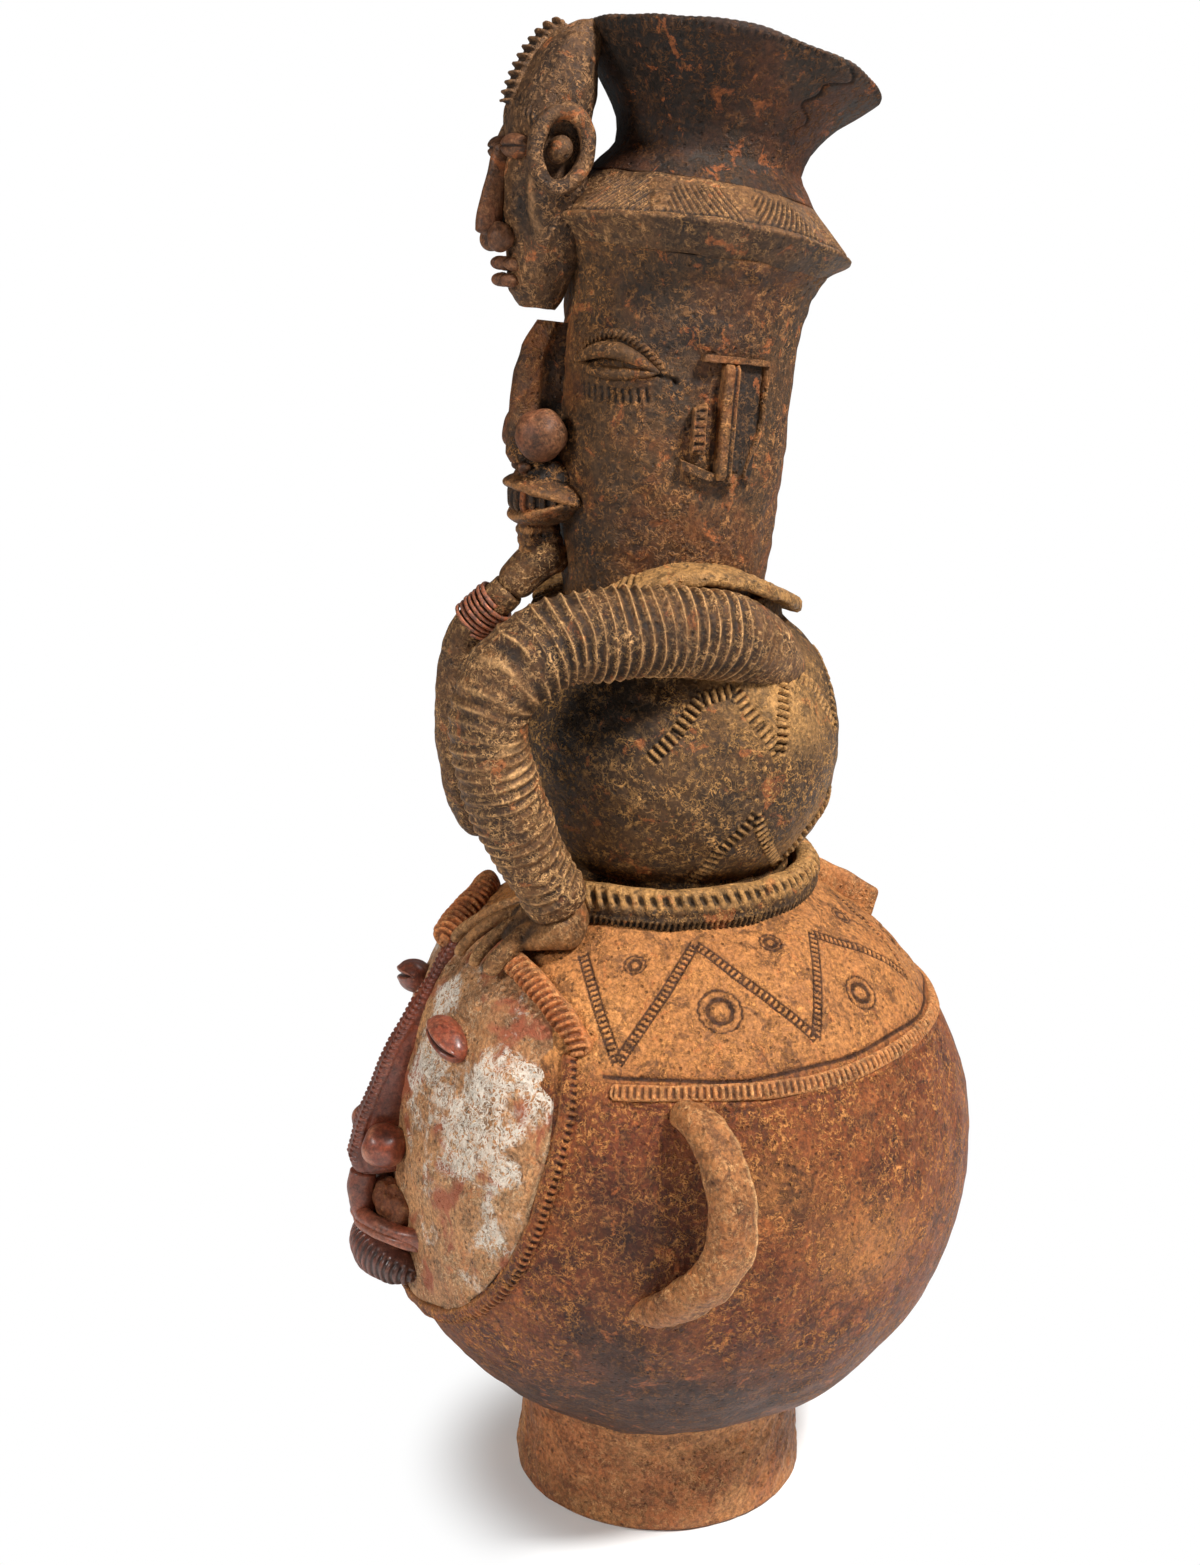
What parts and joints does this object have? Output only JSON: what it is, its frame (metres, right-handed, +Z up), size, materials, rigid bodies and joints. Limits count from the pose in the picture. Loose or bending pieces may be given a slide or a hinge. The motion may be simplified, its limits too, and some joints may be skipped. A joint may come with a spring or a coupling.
{
  "type": "anthropomorphic vessel",
  "caption": "Tall fired-clay vessel: a globe with a face, a seated figure with a flared hat as the mouth, and a small head over the brim.",
  "frame": {"origin": "on the floor, under the middle of the whole vessel's bounding box", "axes": "+Z up, the faces look toward -Y, +X is the figure's own left side"},
  "size_m": [0.4146, 0.3592, 0.8195],
  "materials": {
    "foot": "matt fired clay, worn tan",
    "globe": "matt fired clay, reddish brown",
    "shoulder": "matt fired clay, ochre",
    "handle": "matt fired clay, pale ochre",
    "panel": "matt clay with chalky white slip worn thin",
    "slip": "burnished red-brown slip",
    "torso": "matt smoked clay",
    "arm": "matt smoked clay, worn high spots",
    "head": "matt smoked clay, dark",
    "wire": "oxidised copper wire"
  },
  "bodies": {
    "root": {"foot_ring": "foot", "belly_pot": "globe", "face_panel": "panel", "face_border": "globe", "brow_band_left": "shoulder", "brow_band_right": "shoulder", "nose_ridge": "slip", "nostril_left": "slip", "nostril_right": "slip", "eye_left": "slip", "eye_right": "slip", "upper_lip": "slip", "lower_lip": "slip", "ear_handle_left": "handle", "ear_handle_right": "handle", "shoulder_band": "shoulder", "back_crest": "shoulder", "waist_ring": "torso", "torso_pot": "torso", "collar": "arm", "left_arm": "arm", "left_hand": "arm", "right_arm": "arm", "right_hand": "arm", "beard": "head", "wrist_bracelet": "wire", "head_cylinder": "head", "hat_brim": "head", "mouth_funnel": "head", "head_nose": "head", "head_nostril_left": "slip", "head_nostril_right": "slip", "head_upper_lid_left": "head", "head_upper_lid_right": "head", "head_lower_lid_left": "head", "head_lower_lid_right": "head", "head_brow_left": "head", "head_brow_right": "head", "head_upper_lip": "head", "head_lower_lip": "head", "head_ear_frame_left": "head", "head_ear_frame_right": "head", "head_ear_block_left": "head", "head_ear_block_right": "head", "small_head": "head", "hair_crest": "head", "small_nose": "slip", "small_nostril_left": "slip", "small_nostril_right": "slip", "small_eye_left": "slip", "small_eye_right": "slip", "small_lips": "slip", "ring_ear_left": "head", "ring_ear_right": "head", "ear_plug_left": "slip", "ear_plug_right": "slip"}
  },
  "joints": []
}
